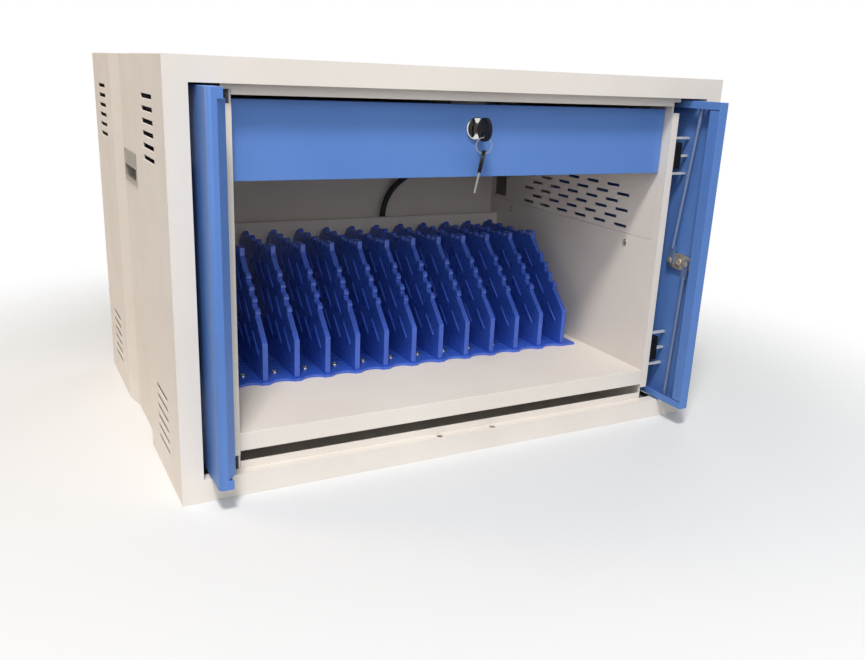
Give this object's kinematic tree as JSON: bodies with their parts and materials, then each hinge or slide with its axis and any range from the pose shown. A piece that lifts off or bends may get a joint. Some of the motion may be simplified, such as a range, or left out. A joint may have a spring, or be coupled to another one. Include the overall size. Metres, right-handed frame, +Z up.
{
  "type": "charging cabinet",
  "caption": "Desk-top sheet-metal charging cabinet with upright device dividers, a locking drawer on telescopic slides, and doors that slide back into side pockets.",
  "frame": {"origin": "middle of the underside, halfway between the sides and between the front frame and the back", "axes": "+X to the right seen from the front, +Y from the front towards the back, +Z up"},
  "size_m": [0.6, 0.467, 0.393],
  "materials": {
    "cream_paint": "fine-textured powder coat",
    "blue_paint": "satin powder coat",
    "blue_plastic": "moulded",
    "zinc_steel": "zinc plated",
    "chrome": "polished",
    "grey_plastic": "moulded",
    "black_plastic": "moulded",
    "black_rubber": "smooth"
  },
  "bodies": {
    "cabinet": {"left_side_panel": "cream_paint", "right_side_panel": "cream_paint", "top_panel": "cream_paint", "bottom_panel": "cream_paint", "back_panel": "cream_paint", "front_frame": "cream_paint", "left_inner_wall": "cream_paint", "right_inner_wall": "cream_paint", "left_vent_panel": "cream_paint", "right_vent_panel": "cream_paint", "shelf": "cream_paint", "rear_rail": "cream_paint", "inner_back": "cream_paint", "lock_catch": "cream_paint", "dividers": "blue_plastic", "divider_base": "blue_plastic", "left_slide_outer": "zinc_steel", "right_slide_outer": "zinc_steel", "left_pocket_rails": "zinc_steel", "right_pocket_rails": "zinc_steel", "left_guide_fingers": "zinc_steel", "right_guide_fingers": "zinc_steel", "left_grip": "grey_plastic", "right_grip": "grey_plastic", "left_guide_blocks": "black_plastic", "right_guide_blocks": "black_plastic", "power_strip": "black_plastic", "power_inlet": "black_plastic", "power_cable": "black_rubber"},
    "drawer": {"drawer_front": "blue_paint", "drawer_tray": "cream_paint", "left_slide_inner": "zinc_steel", "right_slide_inner": "zinc_steel", "lock_barrel": "chrome", "lock_nut": "chrome"},
    "left_runner": {"left_slide_middle": "zinc_steel"},
    "right_runner": {"right_slide_middle": "zinc_steel"},
    "key_and_cam": {"lock_core": "chrome", "lock_cam": "zinc_steel", "key_bow": "black_plastic", "key_blade": "chrome"},
    "ring": {"key_ring": "chrome"},
    "spare_key": {"spare_key_bow": "black_plastic", "spare_key_blade": "chrome"},
    "left_leaf": {"left_door": "blue_paint", "left_pivot_shoes": "black_plastic", "bolt_guides": "zinc_steel"},
    "right_leaf": {"right_door": "blue_paint", "right_pivot_shoes": "black_plastic", "rod_lock_barrel": "chrome", "rod_lock_nut": "chrome"},
    "crank": {"rod_lock_core": "chrome", "rod_crank": "zinc_steel"},
    "upper_lock_rod": {"upper_rod": "zinc_steel"},
    "lower_lock_rod": {"lower_rod": "zinc_steel"},
    "upper_shoot_bolt": {"upper_bolt": "zinc_steel"},
    "lower_shoot_bolt": {"lower_bolt": "zinc_steel"}
  },
  "joints": [
    {"name": "drawer_slide", "type": "slide", "parent": "cabinet", "child": "drawer", "axis": [0, -1, 0], "range_m": [0, 0.25]},
    {"name": "left_runner_slide", "type": "slide", "parent": "cabinet", "child": "left_runner", "axis": [0, -1, 0], "range_m": [0, 0.126]},
    {"name": "right_runner_slide", "type": "slide", "parent": "cabinet", "child": "right_runner", "axis": [0, -1, 0], "range_m": [0, 0.126]},
    {"name": "drawer_lock_turn", "type": "hinge", "parent": "drawer", "child": "key_and_cam", "pos_m": [0, -0.19, 0.337], "axis": [0, -1, 0], "range_deg": [0, 90]},
    {"name": "ring_swing", "type": "hinge", "parent": "key_and_cam", "child": "ring", "pos_m": [0, -0.2087, 0.32965], "axis": [-0.8572, 0.515, 0], "range_deg": [-4, 60]},
    {"name": "spare_key_swing", "type": "hinge", "parent": "ring", "child": "spare_key", "pos_m": [0, -0.2087, 0.31445], "axis": [-0.8572, 0.515, 0], "range_deg": [-8, 30]},
    {"name": "left_door_slide", "type": "slide", "parent": "cabinet", "child": "left_leaf", "axis": [0, -1, 0], "range_m": [0, 0.2]},
    {"name": "right_door_slide", "type": "slide", "parent": "cabinet", "child": "right_leaf", "axis": [0, -1, 0], "range_m": [0, 0.2]},
    {"name": "rod_lock_turn", "type": "hinge", "parent": "right_leaf", "child": "crank", "pos_m": [0.2662, -0.214, 0.191], "axis": [1, 0, 0], "range_deg": [0, 90]},
    {"name": "upper_rod_pivot", "type": "hinge", "parent": "crank", "child": "upper_lock_rod", "pos_m": [0.2662, -0.2014, 0.191], "axis": [1, 0, 0], "range_deg": [-98, 2]},
    {"name": "lower_rod_pivot", "type": "hinge", "parent": "crank", "child": "lower_lock_rod", "pos_m": [0.2662, -0.2266, 0.191], "axis": [1, 0, 0], "range_deg": [-98, 2]},
    {"name": "upper_bolt_slide", "type": "slide", "parent": "left_leaf", "child": "upper_shoot_bolt", "axis": [0, 0, 1], "range_m": [0, 0.014]},
    {"name": "lower_bolt_slide", "type": "slide", "parent": "left_leaf", "child": "lower_shoot_bolt", "axis": [0, 0, -1], "range_m": [0, 0.014]}
  ],
  "couplings": [
    {"joint": "left_runner_slide", "follows": "drawer_slide", "ratio": 0.5},
    {"joint": "right_runner_slide", "follows": "drawer_slide", "ratio": 0.5},
    {"joint": "upper_rod_pivot", "follows": "rod_lock_turn", "ratio": -1.0432},
    {"joint": "lower_rod_pivot", "follows": "rod_lock_turn", "ratio": -1.05}
  ]
}
